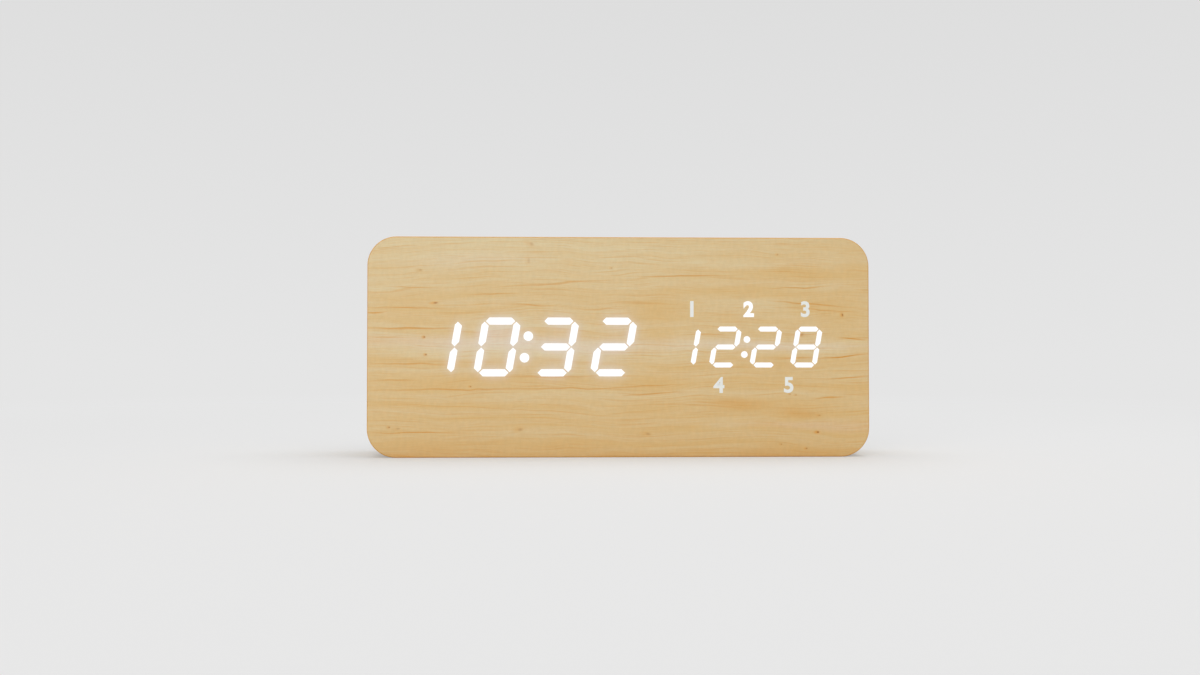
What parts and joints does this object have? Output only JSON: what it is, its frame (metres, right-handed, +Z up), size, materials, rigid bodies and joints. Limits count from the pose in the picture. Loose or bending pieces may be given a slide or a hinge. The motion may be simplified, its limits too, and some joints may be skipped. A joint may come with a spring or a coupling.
{
  "type": "azan clock",
  "caption": "Desk clock in a pale wood block with rounded corners; lit times shine through the wooden front, with keys, battery door and speaker grille at the back.",
  "frame": {"origin": "middle of the flat base that it stands on", "axes": "+Z up, -Y out of the display, +X to the right seen from the front"},
  "size_m": [0.21, 0.04, 0.092],
  "materials": {
    "wood_front": "pale maple veneer, satin lacquer",
    "wood_wrap": "pale maple veneer, satin lacquer",
    "fibreboard": "raw pressed fibreboard",
    "milky_film": "milky light-spreading film",
    "black_plastic": "moulded black plastic",
    "circuit_board": "green solder resist",
    "led_body": "white chip lamps",
    "chip_epoxy": "moulded black epoxy",
    "pin_metal": "gilded pins in black nylon",
    "zinc_steel": "zinc-plated steel",
    "black_steel": "black oxide steel",
    "cover_plastic": "fine-textured black ABS",
    "cell_jacket": "plain shrink-wrapped cell jacket",
    "nickel": "nickel-plated sheet",
    "lead_red": "flexible lead insulation",
    "white_nylon": "white nylon plug",
    "dust_cloth": "thin black dust cloth",
    "foam": "black foam ring",
    "ferrite": "sintered ferrite",
    "paper_cone": "pressed paper cone",
    "tag_board": "brown phenolic tag strip",
    "capacitor_sleeve": "dark plastic sleeve",
    "button_plastic": "moulded dark grey ABS"
  },
  "bodies": {
    "case": {"battery_cells": "cell_jacket", "battery_contacts": "nickel", "battery_leads": "lead_red", "battery_plugs": "white_nylon", "board_header": "pin_metal", "board_screws": "zinc_steel", "board_socket": "black_plastic", "capacitors": "capacitor_sleeve", "case_core": "fibreboard", "clock_crystal": "nickel", "control_board": "circuit_board", "cover_screws": "black_steel", "diffuser_film": "milky_film", "display_board": "circuit_board", "display_driver": "chip_epoxy", "display_leds": "led_body", "display_screws": "zinc_steel", "front_veneer": "wood_front", "grille_cloth": "dust_cloth", "key_switches": "black_plastic", "light_mask": "black_plastic", "power_socket": "nickel", "processor_chip": "chip_epoxy", "rear_cover": "cover_plastic", "side_wrap": "wood_wrap", "socket_tongue": "black_plastic", "sound_switch": "nickel", "speaker_basket": "zinc_steel", "speaker_cone": "paper_cone", "speaker_gasket": "foam", "speaker_leads": "lead_red", "speaker_magnet": "ferrite", "speaker_plug": "white_nylon", "speaker_screws": "zinc_steel", "speaker_terminals": "tag_board", "voice_chip": "chip_epoxy"},
    "set_key": {"set_button": "button_plastic", "set_stem": "black_plastic"},
    "up_key": {"up_button": "button_plastic", "up_stem": "black_plastic"},
    "down_key": {"down_button": "button_plastic", "down_stem": "black_plastic"},
    "mute_key": {"mute_button": "button_plastic", "mute_stem": "black_plastic"},
    "door": {"battery_door": "cover_plastic"},
    "slider": {"sound_slider": "button_plastic"}
  },
  "joints": [
    {"name": "set_press", "type": "slide", "parent": "case", "child": "set_key", "axis": [0, -1, 0], "range_m": [0, 0.0005], "stiffness_N_per_m": 2000, "springref_m": -0.0004},
    {"name": "up_press", "type": "slide", "parent": "case", "child": "up_key", "axis": [0, -1, 0], "range_m": [0, 0.0005], "stiffness_N_per_m": 2000, "springref_m": -0.0004},
    {"name": "down_press", "type": "slide", "parent": "case", "child": "down_key", "axis": [0, -1, 0], "range_m": [0, 0.0005], "stiffness_N_per_m": 2000, "springref_m": -0.0004},
    {"name": "mute_press", "type": "slide", "parent": "case", "child": "mute_key", "axis": [0, -1, 0], "range_m": [0, 0.0005], "stiffness_N_per_m": 2000, "springref_m": -0.0004},
    {"name": "door_slide", "type": "slide", "parent": "case", "child": "door", "axis": [1, 0, 0], "range_m": [0, 0.009]},
    {"name": "sound_slide", "type": "slide", "parent": "case", "child": "slider", "axis": [1, 0, 0], "range_m": [0, 0.003]}
  ]
}
